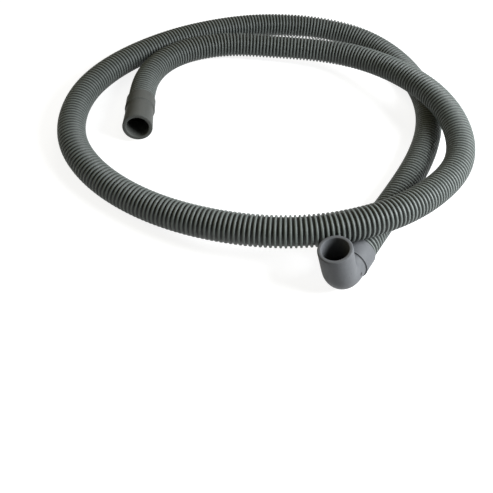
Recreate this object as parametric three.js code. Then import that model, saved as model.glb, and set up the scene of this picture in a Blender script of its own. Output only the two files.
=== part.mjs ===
// Drain hose of a washing machine: a corrugated hose lying in one and three quarter turns,
// with a straight cuff on one end and a right-angled elbow cuff on the other.
// Millimetres, +Z up. The floor is z = 0 and the origin is the middle of the footprint.
import * as THREE from 'three';

// Hose and cuffs
const bore = 18;

// Hose
const hoseWall = 2;
const hoseSides = 12;
const hoseSteps = 78;

// Both cuffs
const bodyWall = 2.25; // beside the collar
const seatDepth = 12.5; // how far the hose goes into the collar
const seatClearance = 0.4; // round the hose, and in front of its end
const collarWall = 0.9; // round the hose
const collarStep = 1.1; // from the bottom of the hose's seat to the outer end of the collar
const outerRimRounding = 0.6;
const innerRimRounding = 0.35;
const collarEdgeRounding = 0.5;
const cuffSegments = 48;

// Straight cuff
const spigotLength = 25.5; // from the collar to the mouth
const spigotMouthWall = 3; // at the open end

// Elbow cuff
const elbowNeck = 3.8; // from the collar to the start of the bend
const elbowBendRadius = 12.5; // of the axis
const elbowLegLength = 19; // from the end of the bend to the mouth
const elbowMouthWall = 2.5; // at the open end
const elbowAngle = THREE.MathUtils.degToRad(82.5);
const elbowBendSteps = 10;
const elbowLean = THREE.MathUtils.degToRad(14.8); // of the leg from upright, about the axis of the hose

// Colours of the photographed object
const hoseGrey = 0x5c6463;
const cuffGrey = 0x5f6163;

// The route of the axis of a hose of the diameter below: x, y and z of each point. It starts in
// the straight cuff, climbs over the lower strand, bridges to where it crosses that strand again,
// comes down, and ends in the elbow cuff. The route of a thicker hose is larger all over.
const routeHoseDiameter = 22;
const routePoints = [
  [-102.3, -14.3, 13.4],
  [-104.8, 7.0, 11.6],
  [-105.0, 33.0, 11.2],
  [-93.4, 64.0, 12.0],
  [-70.3, 86.4, 12.6],
  [-39.2, 99.6, 13.4],
  [-2.0, 103.3, 14.8],
  [35.5, 102.8, 17.2],
  [70.5, 95.3, 21.0],
  [101.3, 76.7, 26.5],
  [125.7, 51.0, 31.5],
  [144.8, 20.2, 34.2],
  [155.2, -15.0, 32.8],
  [151.2, -51.0, 31.5],
  [130.3, -85.8, 33.0],
  [99.0, -116.9, 36.4],
  [63.4, -135.9, 35.1],
  [23.5, -143.0, 29.5],
  [-22.0, -138.4, 21.8],
  [-80.0, -118.0, 12.9],
  [-122.3, -90.4, 11.0],
  [-144.6, -61.5, 11.0],
  [-153.8, -26.0, 11.0],
  [-150.6, 10.5, 11.0],
  [-137.2, 43.3, 11.0],
  [-115.2, 74.9, 11.0],
  [-86.9, 103.5, 11.0],
  [-54.0, 127.0, 11.0],
  [-18.5, 144.2, 11.0],
  [18.5, 153.3, 11.0],
  [56.0, 153.8, 11.0],
  [90.3, 142.5, 11.0],
  [116.8, 119.0, 11.0],
  [134.0, 88.5, 11.0],
  [143.0, 53.5, 11.0],
  [142.0, 15.5, 11.0],
  [128.5, -31.0, 11.1],
  [104.3, -81.1, 12.0],
  [74.2, -136.6, 12.66],
  [68.3, -147.6, 12.33],
];

// Sizes that follow from the ones above
const boreRadius = bore / 2;
const hoseRadius = boreRadius + hoseWall;
const bodyRadius = boreRadius + bodyWall;
const spigotMouthRadius = boreRadius + spigotMouthWall;
const elbowMouthRadius = boreRadius + elbowMouthWall;
const seatRadius = hoseRadius + seatClearance;
const seatEnd = seatDepth + seatClearance;
const collarRadius = seatRadius + collarWall;
const collarLength = seatEnd + collarStep;

// A natural cubic spline through the points: its curvature is continuous and is zero at the ends.
// It never dips below the height at which the hose touches the floor.
class HoseRoute extends THREE.Curve {
  constructor(points, lowest) {
    super();
    this.points = points;
    this.lowest = lowest;
    this.knots = [0];
    for (let i = 1; i < points.length; i += 1) {
      this.knots.push(this.knots[i - 1] + points[i].distanceTo(points[i - 1]));
    }
    this.seconds = HoseRoute.secondDerivatives(points, this.knots);
  }

  static secondDerivatives(points, knots) {
    const last = points.length - 1;
    const seconds = points.map(() => new THREE.Vector3());
    const factors = points.map(() => 0);
    for (let i = 1; i < last; i += 1) {
      const before = knots[i] - knots[i - 1];
      const after = knots[i + 1] - knots[i];
      const change = points[i + 1].clone().sub(points[i]).divideScalar(after)
        .sub(points[i].clone().sub(points[i - 1]).divideScalar(before));
      const pivot = 2 * (before + after) - before * factors[i - 1];
      factors[i] = after / pivot;
      seconds[i] = change.multiplyScalar(6).addScaledVector(seconds[i - 1], -before).divideScalar(pivot);
    }
    for (let i = last - 1; i > 0; i -= 1) seconds[i].addScaledVector(seconds[i + 1], -factors[i]);
    return seconds;
  }

  getPoint(t, target = new THREE.Vector3()) {
    const { points, knots, seconds } = this;
    const place = THREE.MathUtils.clamp(t, 0, 1) * knots[knots.length - 1];
    let i = 1;
    while (i < knots.length - 1 && place > knots[i]) i += 1;
    const span = knots[i] - knots[i - 1];
    const a = (knots[i] - place) / span;
    const b = 1 - a;
    target.set(0, 0, 0)
      .addScaledVector(points[i - 1], a)
      .addScaledVector(points[i], b)
      .addScaledVector(seconds[i - 1], ((a ** 3 - a) * span * span) / 6)
      .addScaledVector(seconds[i], ((b ** 3 - b) * span * span) / 6);
    target.z = Math.max(target.z, this.lowest);
    return target;
  }
}

function polygonPoints(radius, sides) {
  const points = [];
  for (let k = 0; k < sides; k += 1) {
    const angle = (2 * Math.PI * k) / sides;
    points.push(new THREE.Vector2(radius * Math.cos(angle), radius * Math.sin(angle)));
  }
  return points;
}

// The hose as a plain open pipe along its route
function hoseGeometry(route) {
  const section = new THREE.Shape(polygonPoints(hoseRadius, hoseSides));
  section.holes.push(new THREE.Path(polygonPoints(boreRadius, hoseSides)));
  return new THREE.ExtrudeGeometry(section, { steps: hoseSteps, extrudePath: route, bevelEnabled: false });
}

// The half section that both cuffs share, as radius and distance from the end of the collar.
// bodyPlaces are the distances between collar and mouth at which the wall gets a ring.
function cuffProfile(totalLength, mouthRadius, bodyPlaces) {
  const bodyLength = totalLength - outerRimRounding - collarLength;
  const outerRadius = (place) =>
    THREE.MathUtils.lerp(bodyRadius, mouthRadius, (place - collarLength) / bodyLength);
  const outer = [
    [collarRadius - collarEdgeRounding, 0],
    [collarRadius, collarEdgeRounding],
    [collarRadius, collarLength - collarEdgeRounding],
    [collarRadius - collarEdgeRounding, collarLength],
    [bodyRadius, collarLength],
    ...bodyPlaces.map((place) => [outerRadius(place), place]),
    [mouthRadius, totalLength - outerRimRounding],
    [mouthRadius - outerRimRounding, totalLength],
  ];
  const inner = [
    [boreRadius + innerRimRounding, totalLength],
    [boreRadius, totalLength - innerRimRounding],
    ...[...bodyPlaces].reverse().map((place) => [boreRadius, place]),
    [boreRadius, seatEnd],
    [seatRadius, seatEnd],
    [seatRadius, 0],
  ];
  const points = [...outer, ...inner].map(([radius, place]) => new THREE.Vector2(radius, place));
  points.push(points[0].clone());
  return points;
}

function straightCuffGeometry() {
  return new THREE.LatheGeometry(cuffProfile(collarLength + spigotLength, spigotMouthRadius, []), cuffSegments);
}

// The elbow cuff is the same turned form, made longer and bent towards +X of its own axes
function elbowCuffGeometry() {
  const bendStart = collarLength + elbowNeck;
  const bendLength = elbowBendRadius * elbowAngle;
  const totalLength = bendStart + bendLength + elbowLegLength;
  const bodyPlaces = [];
  for (let k = 0; k <= elbowBendSteps; k += 1) {
    bodyPlaces.push(bendStart + (bendLength * k) / elbowBendSteps);
  }
  const geometry = new THREE.LatheGeometry(cuffProfile(totalLength, elbowMouthRadius, bodyPlaces), cuffSegments);
  const position = geometry.attributes.position;
  for (let i = 0; i < position.count; i += 1) {
    const along = position.getY(i);
    const angle = THREE.MathUtils.clamp((along - bendStart) / elbowBendRadius, 0, elbowAngle);
    const before = Math.min(along, bendStart);
    const after = Math.max(along - bendStart - bendLength, 0);
    const arm = elbowBendRadius - position.getX(i);
    const x = elbowBendRadius - arm * Math.cos(angle) + after * Math.sin(angle);
    const y = before + arm * Math.sin(angle) + after * Math.cos(angle);
    position.setXY(i, x, y);
  }
  geometry.computeVertexNormals();
  return geometry;
}

function named(name, geometry, color) {
  const mesh = new THREE.Mesh(geometry, new THREE.MeshStandardMaterial({ color, roughness: 0.6, metalness: 0 }));
  mesh.name = name;
  return mesh;
}

// Puts a cuff on an end of the hose: its own Y runs along the hose, away from it, and its own X
// is turned from upright by the lean.
function seatCuff(mesh, hoseEnd, away, lean) {
  const side = new THREE.Vector3().crossVectors(away, new THREE.Vector3(0, 0, 1)).normalize();
  const upright = new THREE.Vector3().crossVectors(side, away);
  const legwards = upright.multiplyScalar(Math.cos(lean)).addScaledVector(side, Math.sin(lean));
  const third = new THREE.Vector3().crossVectors(legwards, away);
  mesh.quaternion.setFromRotationMatrix(new THREE.Matrix4().makeBasis(legwards, away, third));
  mesh.position.copy(hoseEnd).addScaledVector(away, -seatDepth);
}

const routeScale = (2 * hoseRadius) / routeHoseDiameter;
const route = new HoseRoute(
  routePoints.map((point) => new THREE.Vector3(...point).multiplyScalar(routeScale)),
  hoseRadius,
);
const hose = named('corrugated_hose', hoseGeometry(route), hoseGrey);

const straightCuff = named('straight_cuff', straightCuffGeometry(), cuffGrey);
seatCuff(straightCuff, route.getPoint(0), route.getTangent(0).negate(), 0);

const elbowCuff = named('elbow_cuff', elbowCuffGeometry(), cuffGrey);
seatCuff(elbowCuff, route.getPoint(1), route.getTangent(1), elbowLean);

const drainHose = new THREE.Group();
drainHose.add(hose, straightCuff, elbowCuff);

// Centres the footprint on the origin and stands the lowest point on the floor
const extent = new THREE.Box3().setFromObject(drainHose, true);
const middle = extent.getCenter(new THREE.Vector3());
const footprintMiddle = new THREE.Vector3(middle.x, middle.y, extent.min.z);
for (const mesh of drainHose.children) mesh.position.sub(footprintMiddle);

export default drainHose;
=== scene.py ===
import math

import bpy
import numpy as np
from mathutils import Matrix, Vector


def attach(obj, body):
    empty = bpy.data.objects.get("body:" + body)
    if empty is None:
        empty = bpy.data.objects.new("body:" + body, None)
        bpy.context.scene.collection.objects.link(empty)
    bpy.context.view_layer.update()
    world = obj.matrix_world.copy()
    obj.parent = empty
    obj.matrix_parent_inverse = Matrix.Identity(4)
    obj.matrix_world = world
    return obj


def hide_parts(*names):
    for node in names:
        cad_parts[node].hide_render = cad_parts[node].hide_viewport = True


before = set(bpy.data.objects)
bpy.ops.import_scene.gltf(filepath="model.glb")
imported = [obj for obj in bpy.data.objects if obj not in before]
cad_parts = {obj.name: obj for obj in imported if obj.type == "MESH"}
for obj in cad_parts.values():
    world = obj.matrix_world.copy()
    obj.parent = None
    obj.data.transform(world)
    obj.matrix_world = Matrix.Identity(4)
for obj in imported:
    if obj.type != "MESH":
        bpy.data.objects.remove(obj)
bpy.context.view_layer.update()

MM = 0.001

# Hose
HOSE_DIAMETER = 22 * MM
HOSE_BORE = 18 * MM
RIB_PITCH = 3.25 * MM
RIB_DEPTH = 1.35 * MM
# One rib, within a pitch that starts and ends in the middle of a groove: share of the pitch,
# share of the rib's depth
RIB_SECTION = [(0.21, 0.0), (0.29, 0.88), (0.36, 1.0), (0.64, 1.0), (0.71, 0.88), (0.79, 0.0)]
HOSE_SIDES = 28

# Cuffs
CUFF_BORE = 18 * MM
SEAT_DEPTH = 12.5 * MM
SEAT_GAP = 0.25 * MM
COLLAR_RADIUS = 12.3 * MM
COLLAR_LENGTH = 14 * MM
BODY_RADIUS = 11.25 * MM
SPIGOT_LENGTH = 25.5 * MM
SPIGOT_MOUTH_RADIUS = 12 * MM
ELBOW_NECK = 3.8 * MM
ELBOW_BEND_RADIUS = 12.5 * MM
ELBOW_ANGLE = math.radians(82.5)
ELBOW_LEG_LENGTH = 19 * MM
ELBOW_MOUTH_RADIUS = 11.5 * MM
ELBOW_LEAN = math.radians(14.8)
CUFF_SIDES = 96
SPECK = (21.3, 0.236)  # millimetres from the collar's end, share of a turn from the leg's side

# The route of the hose's axis, and how far the model's middle is from the route's own origin
ROUTE = [
    (-0.1023, -0.0143, 0.0134),
    (-0.1048, 0.0070, 0.0116),
    (-0.1050, 0.0330, 0.0112),
    (-0.0934, 0.0640, 0.0120),
    (-0.0703, 0.0864, 0.0126),
    (-0.0392, 0.0996, 0.0134),
    (-0.0020, 0.1033, 0.0148),
    (0.0355, 0.1028, 0.0172),
    (0.0705, 0.0953, 0.0210),
    (0.1013, 0.0767, 0.0265),
    (0.1257, 0.0510, 0.0315),
    (0.1448, 0.0202, 0.0342),
    (0.1552, -0.0150, 0.0328),
    (0.1512, -0.0510, 0.0315),
    (0.1303, -0.0858, 0.0330),
    (0.0990, -0.1169, 0.0364),
    (0.0634, -0.1359, 0.0351),
    (0.0235, -0.1430, 0.0295),
    (-0.0220, -0.1384, 0.0218),
    (-0.0800, -0.1180, 0.0129),
    (-0.1223, -0.0904, 0.0110),
    (-0.1446, -0.0615, 0.0110),
    (-0.1538, -0.0260, 0.0110),
    (-0.1506, 0.0105, 0.0110),
    (-0.1372, 0.0433, 0.0110),
    (-0.1152, 0.0749, 0.0110),
    (-0.0869, 0.1035, 0.0110),
    (-0.0540, 0.1270, 0.0110),
    (-0.0185, 0.1442, 0.0110),
    (0.0185, 0.1533, 0.0110),
    (0.0560, 0.1538, 0.0110),
    (0.0903, 0.1425, 0.0110),
    (0.1168, 0.1190, 0.0110),
    (0.1340, 0.0885, 0.0110),
    (0.1430, 0.0535, 0.0110),
    (0.1420, 0.0155, 0.0110),
    (0.1285, -0.0310, 0.0111),
    (0.1043, -0.0811, 0.0120),
    (0.0742, -0.1366, 0.01266),
    (0.0683, -0.1476, 0.01233),
]
ROUTE_SHIFT = (-0.000578, 0.004259, 0.000015)

# The camera, from the photograph: its place on the route's own origin, its right and up, its
# focal length and the height of the optical axis above the picture's middle
PICTURE_SIDE = 493
CAMERA_PLACE = (-0.0110, -0.4350, 0.3528)
CAMERA_RIGHT = (0.99251, 0.08066, 0.09180)
CAMERA_UP = (-0.12220, 0.65511, 0.74559)
FOCAL_PIXELS = 654.9
AXIS_ABOVE_MIDDLE = 96.5
SENSOR_WIDTH = 36

FLOOR_HALF_SIDE = 6.0
FLOOR_DROP = 0.2 * MM  # keeps the floor's surface off the hose's lowest points


# Camera


def make_camera():
    data = bpy.data.cameras.new("camera")
    data.sensor_fit = "HORIZONTAL"
    data.sensor_width = SENSOR_WIDTH
    data.lens = FOCAL_PIXELS / PICTURE_SIDE * SENSOR_WIDTH
    data.shift_y = -AXIS_ABOVE_MIDDLE / PICTURE_SIDE
    data.clip_start = 0.01
    data.clip_end = 50
    camera = bpy.data.objects.new("camera", data)
    right = Vector(CAMERA_RIGHT).normalized()
    back = right.cross(Vector(CAMERA_UP)).normalized()
    up = back.cross(right)
    place = Vector(CAMERA_PLACE) + Vector(ROUTE_SHIFT)
    turn = Matrix((right, up, back)).transposed().to_4x4()
    camera.matrix_world = Matrix.Translation(place) @ turn
    bpy.context.collection.objects.link(camera)
    bpy.context.scene.camera = camera


# The route as a curve


def spline(points, samples_per_span=60):
    """Dense points of the natural cubic spline through points, no lower than the hose can lie."""
    points = np.array(points)
    knots = np.concatenate([[0], np.cumsum(np.linalg.norm(np.diff(points, axis=0), axis=1))])
    spans = np.diff(knots)
    slopes = np.diff(points, axis=0) / spans[:, None]
    count = len(points)
    system = np.eye(count)
    change = np.zeros_like(points)
    for i in range(1, count - 1):
        system[i, i - 1 : i + 2] = spans[i - 1], 2 * (spans[i - 1] + spans[i]), spans[i]
        change[i] = 6 * (slopes[i] - slopes[i - 1])
    second = np.linalg.solve(system, change)
    pieces = []
    for i, span in enumerate(spans):
        b = np.linspace(0, 1, samples_per_span, endpoint=i == count - 2)[:, None]
        a = 1 - b
        pieces.append(
            a * points[i]
            + b * points[i + 1]
            + ((a**3 - a) * second[i] + (b**3 - b) * second[i + 1]) * span**2 / 6
        )
    dense = np.concatenate(pieces)
    dense[:, 2] = np.maximum(dense[:, 2], HOSE_DIAMETER / 2)
    return dense + np.array(ROUTE_SHIFT)


class Route:
    """Points, directions and cross axes at any distance along the hose's axis."""

    def __init__(self, points):
        self.points = points
        steps = np.linalg.norm(np.diff(points, axis=0), axis=1)
        self.lengths = np.concatenate([[0], np.cumsum(steps)])
        self.length = self.lengths[-1]

    def at(self, places):
        columns = [np.interp(places, self.lengths, self.points[:, k]) for k in range(3)]
        return np.stack(columns, axis=1)

    def frames(self, places):
        """Centres, sideways axes and upward axes of cross-sections. The direction at a place is
        taken between the points this far before and after it."""
        reach = 0.8 * MM
        places = np.asarray(places, dtype=float)
        ahead = self.at(np.minimum(places + reach, self.length))
        behind = self.at(np.maximum(places - reach, 0))
        along = ahead - behind
        along /= np.linalg.norm(along, axis=1)[:, None]
        side = np.cross(along, (0, 0, 1))
        side /= np.linalg.norm(side, axis=1)[:, None]
        return self.at(places), side, np.cross(side, along)


# Meshes


def tube_object(name, rings, radii, sides, uvs_along):
    """A closed surface of rings, each a centre and two axes with a radius. The last ring joins the
    first, so the section is a loop: out along the tube and back inside it. The UV map's first
    number is uvs_along and its second is the share of a turn."""
    centres, side_axes, up_axes = rings
    angles = 2 * math.pi * np.arange(sides) / sides
    circle = np.cos(angles)[None, :, None] * side_axes[:, None, :]
    circle = circle + np.sin(angles)[None, :, None] * up_axes[:, None, :]
    vertices = centres[:, None, :] + radii[:, None, None] * circle
    count = len(centres)
    faces = []
    coordinates = []
    for i in range(count):
        j = (i + 1) % count
        for k in range(sides):
            m = (k + 1) % sides
            faces.append((i * sides + k, j * sides + k, j * sides + m, i * sides + m))
            start, end = uvs_along[i], uvs_along[j] if j else uvs_along[i]
            left, right = k / sides, (k + 1) / sides
            coordinates += [(start, left), (end, left), (end, right), (start, right)]
    mesh = bpy.data.meshes.new(name)
    mesh.from_pydata(vertices.reshape(-1, 3).tolist(), [], faces)
    layer = mesh.uv_layers.new(name="along")
    layer.data.foreach_set("uv", np.array(coordinates, dtype=np.float32).ravel())
    mesh.shade_smooth()
    made = bpy.data.objects.new(name, mesh)
    bpy.context.collection.objects.link(made)
    return made


def hose_object(route):
    """The ribbed wall, out along the hose, and the smooth bore, back through it. The bore has a
    ring at every second groove."""
    ribs = round(route.length / RIB_PITCH)
    pitch = route.length / ribs
    outer_radius = HOSE_DIAMETER / 2
    groove_radius = outer_radius - RIB_DEPTH
    places = [0.0]
    radii = [groove_radius]
    for rib in range(ribs):
        for part, height in RIB_SECTION:
            places.append((rib + part) * pitch)
            radii.append(groove_radius + RIB_DEPTH * height)
    places.append(route.length)
    radii.append(groove_radius)
    bore_places = np.arange(ribs, -1, -2) * pitch
    uvs_along = np.concatenate([np.array(places) / pitch, bore_places / pitch])
    places = np.concatenate([places, bore_places])
    radii = np.concatenate([radii, np.full(len(bore_places), HOSE_BORE / 2)])
    return tube_object("ribbed_hose", route.frames(places), radii, HOSE_SIDES, uvs_along)


def arc(centre, radius, start, end, steps=5):
    """Points of a rounding in the half section, as (radius, place). Angles are in degrees."""
    points = []
    for k in range(steps + 1):
        angle = math.radians(start + (end - start) * k / steps)
        points.append((centre[0] + radius * math.cos(angle), centre[1] + radius * math.sin(angle)))
    return points


def cuff_section(total, mouth_radius, body_places):
    """Half section of a cuff, as (radius, place from the collar's end), once round."""
    bore = CUFF_BORE / 2
    seat = HOSE_DIAMETER / 2 + SEAT_GAP
    seat_end = SEAT_DEPTH + SEAT_GAP
    collar = COLLAR_RADIUS - 0.2 * MM  # the ridge at the collar's inner end stands proud of it
    collar_round = 0.7 * MM
    ridge = 0.45 * MM
    fillet = 0.5 * MM
    rim = 0.9 * MM
    inner_rim = 0.5 * MM
    seat_edge = [(seat, 1.0 * MM), (seat + 0.3 * MM, 0.15 * MM)]

    def body(place):
        share = (place - COLLAR_LENGTH) / (total - COLLAR_LENGTH)
        return BODY_RADIUS + (mouth_radius - BODY_RADIUS) * share

    points = arc((collar - collar_round, collar_round), collar_round, -80, 0)
    points += [(collar, COLLAR_LENGTH - share * ridge) for share in (3.2, 2.4)]
    points += arc((COLLAR_RADIUS - ridge, COLLAR_LENGTH - ridge), ridge, -60, 80)
    points += [(COLLAR_RADIUS - 0.8 * MM, COLLAR_LENGTH + 0.02 * MM)]
    points += arc((BODY_RADIUS + fillet, COLLAR_LENGTH + fillet), fillet, 250, 180, 4)
    points += [(body(place), place) for place in body_places]
    points += arc((mouth_radius - rim, total - rim), rim, 0, 82)
    points += arc((bore + inner_rim, total - inner_rim), inner_rim, 98, 180)
    points += [(bore, place) for place in reversed(body_places)]
    return points + [(bore, seat_end), (seat, seat_end)] + seat_edge


def turned_object(name, section, bend=None):
    """The section turned about +Y. bend is (start, radius, angle) and turns the rest towards +X."""
    radii = np.array([p[0] for p in section])
    places = np.array([p[1] for p in section])
    count = len(section)
    if bend is None:
        centres = np.stack([np.zeros(count), places, np.zeros(count)], axis=1)
        across = np.tile((1.0, 0.0, 0.0), (count, 1))
    else:
        start, radius, angle = bend
        turn = np.clip((places - start) / radius, 0, angle)
        rest = np.maximum(places - start - radius * angle, 0)
        x = radius * (1 - np.cos(turn)) + rest * np.sin(turn)
        y = np.minimum(places, start) + radius * np.sin(turn) + rest * np.cos(turn)
        centres = np.stack([x, y, np.zeros(count)], axis=1)
        across = np.stack([np.cos(turn), -np.sin(turn), np.zeros(count)], axis=1)
    third = np.tile((0.0, 0.0, 1.0), (count, 1))
    return tube_object(name, (centres, across, third), radii, CUFF_SIDES, places / MM)


def straight_cuff_object():
    total = COLLAR_LENGTH + SPIGOT_LENGTH
    spans = 6
    places = [COLLAR_LENGTH + SPIGOT_LENGTH * k / spans for k in range(1, spans)]
    return turned_object("moulded_straight_cuff", cuff_section(total, SPIGOT_MOUTH_RADIUS, places))


def elbow_cuff_object():
    spans = 24
    start = COLLAR_LENGTH + ELBOW_NECK
    bend_length = ELBOW_BEND_RADIUS * ELBOW_ANGLE
    total = start + bend_length + ELBOW_LEG_LENGTH
    places = [COLLAR_LENGTH + ELBOW_NECK * share for share in (0.3, 0.7)]
    places += [start + bend_length * k / spans for k in range(spans + 1)]
    places += [total - ELBOW_LEG_LENGTH * share for share in (0.7, 0.4)]
    section = cuff_section(total, ELBOW_MOUTH_RADIUS, places)
    return turned_object("moulded_elbow_cuff", section, (start, ELBOW_BEND_RADIUS, ELBOW_ANGLE))


def seat_cuff(cuff, route, at_start, lean):
    """Puts the cuff's own origin where its collar ends on the hose, +Y pointing off the hose."""
    ends = route.points[:2] if at_start else route.points[-2:]
    away = Vector(ends[0] - ends[1]) if at_start else Vector(ends[1] - ends[0])
    away.normalize()
    tip = Vector(route.points[0] if at_start else route.points[-1])
    side = away.cross(Vector((0, 0, 1))).normalized()
    upright = side.cross(away)
    legwards = upright * math.cos(lean) + side * math.sin(lean)
    turn = Matrix((legwards, away, legwards.cross(away))).transposed().to_4x4()
    cuff.data.transform(Matrix.Translation(tip - away * SEAT_DEPTH) @ turn)
    cuff.data.update()


# Materials


class Nodes:
    """A material's node tree, with short ways to add and join nodes."""

    def __init__(self, name):
        self.material = bpy.data.materials.new(name)
        self.material.use_nodes = True
        self.tree = self.material.node_tree
        self.tree.nodes.clear()
        self.output = self.add("ShaderNodeOutputMaterial")

    def add(self, kind, settings=None, **inputs):
        node = self.tree.nodes.new(kind)
        for key, value in (settings or {}).items():
            setattr(node, key, value)
        for key, value in inputs.items():
            self.feed(node.inputs[key.replace("_", " ")], value)
        return node

    def feed(self, socket, value):
        if isinstance(value, bpy.types.NodeSocket):
            self.tree.links.new(value, socket)
        else:
            socket.default_value = value

    def math(self, operation, first, second=0.0, third=0.0):
        node = self.add("ShaderNodeMath", {"operation": operation})
        for socket, value in zip(node.inputs, (first, second, third)):
            self.feed(socket, value)
        return node.outputs[0]

    def noise(self, vector, scale, detail=2.0, roughness=0.5):
        settings = {"Scale": scale, "Detail": detail, "Roughness": roughness}
        return self.add("ShaderNodeTexNoise", Vector=vector, **settings).outputs["Fac"]

    def span(self, value, low, high, to_low=0.0, to_high=1.0):
        """Eases from to_low to to_high while the value goes from low to high."""
        node = self.add("ShaderNodeMapRange", {"interpolation_type": "SMOOTHSTEP"}, Value=value)
        ends = {"From Min": low, "From Max": high, "To Min": to_low, "To Max": to_high}
        for key, number in ends.items():
            node.inputs[key].default_value = number
        return node.outputs[0]

    def spread(self):
        """The UV map's two numbers: the place along the piece, and the share of a turn."""
        place = self.add("ShaderNodeUVMap").outputs[0]
        return self.add("ShaderNodeSeparateXYZ", Vector=place).outputs[:2]

    def mix(self, share, first, second, blend="MIX"):
        node = self.add("ShaderNodeMix", {"data_type": "RGBA", "blend_type": blend})
        self.feed(node.inputs["Factor"], share)
        self.feed(node.inputs[6], first)
        self.feed(node.inputs[7], second)
        return node.outputs[2]

    def bump(self, height, strength, distance, normal=None):
        node = self.add("ShaderNodeBump", Height=height, Strength=strength, Distance=distance)
        if normal is not None:
            self.feed(node.inputs["Normal"], normal)
        return node.outputs[0]

    def finish(self, shader):
        self.tree.links.new(shader, self.output.inputs["Surface"])
        return self.material


def grey(level, red=0.0, blue=0.0):
    """A colour near grey. red and blue are how much these differ from the level."""
    return (level + red, level, level + blue, 1.0)


def hose_material():
    """Greenish grey plastic, darker in the grooves with painted shade and dirt, a little different
    from rib to rib, and paler in patches on the crests."""
    nodes = Nodes("hose_plastic")
    place = nodes.add("ShaderNodeTexCoord").outputs["Object"]
    along, _ = nodes.spread()
    phase = nodes.math("FRACT", along)
    from_crest = nodes.math("ABSOLUTE", nodes.math("SUBTRACT", phase, 0.5))
    groove = nodes.span(from_crest, 0.19, 0.28)
    crest = nodes.span(from_crest, 0.22, 0.05)
    number = nodes.math("FLOOR", along)
    rib = nodes.add("ShaderNodeTexWhiteNoise", {"noise_dimensions": "1D"}, W=number)
    patches = nodes.noise(place, 22.0, 3.0)
    scuffs = nodes.noise(place, 260.0, 4.0, 0.6)
    grain = nodes.noise(place, 2600.0, 2.0)

    colour = nodes.mix(patches, grey(0.128, -0.014, -0.008), grey(0.158, -0.015, -0.008))
    darker = nodes.span(rib.outputs["Value"], 0.0, 1.0, 0.0, 0.22)
    colour = nodes.mix(darker, colour, grey(0.105, -0.010, -0.008))
    # Paler in patches on the crests, where the scuff noise is high.
    paler_crest_patches = nodes.math("MULTIPLY", nodes.span(scuffs, 0.52, 0.72, 0.0, 0.35), crest)
    colour = nodes.mix(paler_crest_patches, colour, grey(0.24, -0.014, -0.006))
    # Painted shade and dirt in the grooves: the groove mask mixes the colour towards near black.
    colour = nodes.mix(nodes.math("MULTIPLY", groove, 0.88), colour, grey(0.016, -0.002, -0.002))

    rough = nodes.span(scuffs, 0.3, 0.7, 0.46, 0.60)
    normal = nodes.bump(grain, 0.25, 0.0002)
    normal = nodes.bump(scuffs, 0.15, 0.0004, normal)
    shader = nodes.add("ShaderNodeBsdfPrincipled", Roughness=rough, Normal=normal)
    nodes.feed(shader.inputs["Base Color"], colour)
    shader.inputs["Specular IOR Level"].default_value = 0.35
    return nodes.finish(shader.outputs[0])


def cuff_material(name, level, blue, speck=None):
    """Moulded rubber, faintly mottled. speck is the place along the cuff, in millimetres, and the
    share of a turn of one dark mark."""
    nodes = Nodes(name)
    place = nodes.add("ShaderNodeTexCoord").outputs["Object"]
    patches = nodes.noise(place, 60.0, 3.0)
    specks = nodes.noise(place, 420.0, 2.0, 0.7)
    grain = nodes.noise(place, 3200.0, 2.0)

    mottled = nodes.math("MULTIPLY_ADD", specks, 0.5, nodes.math("MULTIPLY", patches, 0.5))
    dark = grey(level - 0.022, -0.003, blue)
    light = grey(level + 0.022, -0.003, blue)
    colour = nodes.mix(mottled, dark, light)
    colour = nodes.mix(nodes.span(specks, 0.70, 0.76, 0.0, 0.65), colour, grey(0.04))
    if speck:
        along, share = nodes.spread()
        turn = 2 * math.pi * BODY_RADIUS / MM
        off_along = nodes.math("SUBTRACT", along, speck[0])
        off_round = nodes.math("MULTIPLY", nodes.math("SUBTRACT", share, speck[1]), turn)
        along_squared = nodes.math("MULTIPLY", off_along, off_along)
        apart = nodes.math("SQRT", nodes.math("MULTIPLY_ADD", off_round, off_round, along_squared))
        colour = nodes.mix(nodes.span(apart, 0.9, 1.6, 0.9, 0.0), colour, grey(0.02))
    rough = nodes.span(patches, 0.3, 0.7, 0.52, 0.62)
    normal = nodes.bump(grain, 0.2, 0.0002)
    normal = nodes.bump(patches, 0.2, 0.0006, normal)
    shader = nodes.add("ShaderNodeBsdfPrincipled", Roughness=rough, Normal=normal)
    nodes.feed(shader.inputs["Base Color"], colour)
    shader.inputs["Specular IOR Level"].default_value = 0.2
    return nodes.finish(shader.outputs[0])


def floor_material():
    """Pale floor. What the camera sees of it is white, less the object's shadow. Far from the
    lamps more of that white is its own."""
    nodes = Nodes("floor_white")
    path = nodes.add("ShaderNodeLightPath")
    seen = nodes.math("ADD", path.outputs["Is Camera Ray"], path.outputs["Is Glossy Ray"])
    seen = nodes.math("MINIMUM", nodes.math("ADD", seen, path.outputs["Is Transmission Ray"]), 1.0)
    place = nodes.add("ShaderNodeTexCoord").outputs["Object"]
    cloudy = nodes.noise(place, 3.0, 2.0)
    pale = nodes.mix(cloudy, grey(0.34), grey(0.38))
    diffuse = nodes.add("ShaderNodeBsdfDiffuse", Color=pale)
    bright = nodes.add("ShaderNodeBsdfDiffuse", Color=grey(0.35))
    from_middle = nodes.add("ShaderNodeVectorMath", {"operation": "LENGTH"}, Vector=place)
    strength = nodes.span(from_middle.outputs["Value"], 0.4, 1.6, 0.86, 1.0)
    glow = nodes.add("ShaderNodeEmission", Color=grey(1.0), Strength=strength)
    white = nodes.add("ShaderNodeAddShader")
    nodes.feed(white.inputs[0], bright.outputs[0])
    nodes.feed(white.inputs[1], glow.outputs[0])
    both = nodes.add("ShaderNodeMixShader", Fac=seen)
    nodes.feed(both.inputs[1], diffuse.outputs[0])
    nodes.feed(both.inputs[2], white.outputs[0])
    return nodes.finish(both.outputs[0])


# Stage


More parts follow.
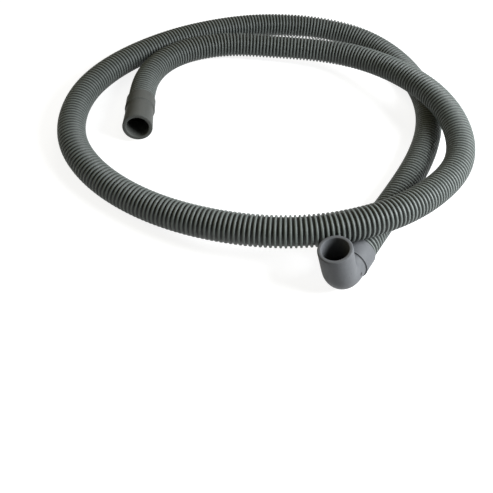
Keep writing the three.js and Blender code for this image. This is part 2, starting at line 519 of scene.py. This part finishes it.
def make_floor():
    mesh = bpy.data.meshes.new("floor")
    half = FLOOR_HALF_SIDE
    corners = [(-half, -half, 0), (half, -half, 0), (half, half, 0), (-half, half, 0)]
    mesh.from_pydata(corners, [], [(0, 1, 2, 3)])
    mesh.materials.append(floor_material())
    floor = bpy.data.objects.new("floor", mesh)
    floor.location.z = -FLOOR_DROP
    bpy.context.collection.objects.link(floor)


def make_world():
    """White to the camera, and a faint soft light to everything else."""
    world = bpy.data.worlds.new("studio")
    world.use_nodes = True
    tree = world.node_tree
    tree.nodes.clear()
    path = tree.nodes.new("ShaderNodeLightPath")
    add = tree.nodes.new("ShaderNodeMath")
    add.operation = "ADD"
    tree.links.new(path.outputs["Is Camera Ray"], add.inputs[0])
    tree.links.new(path.outputs["Is Transmission Ray"], add.inputs[1])
    soft = tree.nodes.new("ShaderNodeBackground")
    soft.inputs["Color"].default_value = (1.0, 0.99, 0.94, 1.0)
    soft.inputs["Strength"].default_value = 0.12
    white = tree.nodes.new("ShaderNodeBackground")
    white.inputs["Color"].default_value = (1.0, 1.0, 1.0, 1.0)
    white.inputs["Strength"].default_value = 1.0
    mix = tree.nodes.new("ShaderNodeMixShader")
    output = tree.nodes.new("ShaderNodeOutputWorld")
    tree.links.new(add.outputs[0], mix.inputs[0])
    tree.links.new(soft.outputs[0], mix.inputs[1])
    tree.links.new(white.outputs[0], mix.inputs[2])
    tree.links.new(mix.outputs[0], output.inputs["Surface"])
    bpy.context.scene.world = world


def area_light(name, place, target, size, power, colour):
    data = bpy.data.lights.new(name, "AREA")
    data.shape = "DISK"
    data.size = size
    data.energy = power
    data.color = colour
    light = bpy.data.objects.new(name, data)
    light.location = place
    light.rotation_euler = (Vector(target) - Vector(place)).to_track_quat("-Z", "Y").to_euler()
    bpy.context.collection.objects.link(light)


def dress(piece, material):
    piece.data.materials.append(material)
    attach(piece, "root")


make_camera()
route = Route(spline(ROUTE))

hose = hose_object(route)
straight_cuff = straight_cuff_object()
seat_cuff(straight_cuff, route, True, 0.0)
elbow_cuff = elbow_cuff_object()
seat_cuff(elbow_cuff, route, False, ELBOW_LEAN)

dress(hose, hose_material())
# The straight cuff's rubber is set darker than the elbow cuff's: painted shade, for its place
# further from the key light.
dress(straight_cuff, cuff_material("straight_cuff_rubber", 0.090, -0.006))
dress(elbow_cuff, cuff_material("elbow_cuff_rubber", 0.110, 0.006, SPECK))
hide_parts("corrugated_hose")
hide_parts("straight_cuff")
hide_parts("elbow_cuff")

make_floor()
make_world()
# The key light stands on the right and is aimed in front of the object, so that it falls off
# towards the back left. Place, aim, diameter, power and colour.
area_light("key", (0.7, -0.2, 0.52), (0.6, -0.5, 0), 0.6, 24, (0.94, 0.975, 1.0))
area_light("back", (0.0, 1.15, 1.0), (0, 0, 0), 1.0, 5.5, (1.0, 0.98, 0.96))
area_light("left", (-1.1, -0.1, 0.9), (0, 0, 0), 0.9, 2.0, (1.0, 0.86, 0.35))

bpy.context.scene.view_settings.view_transform = "Standard"
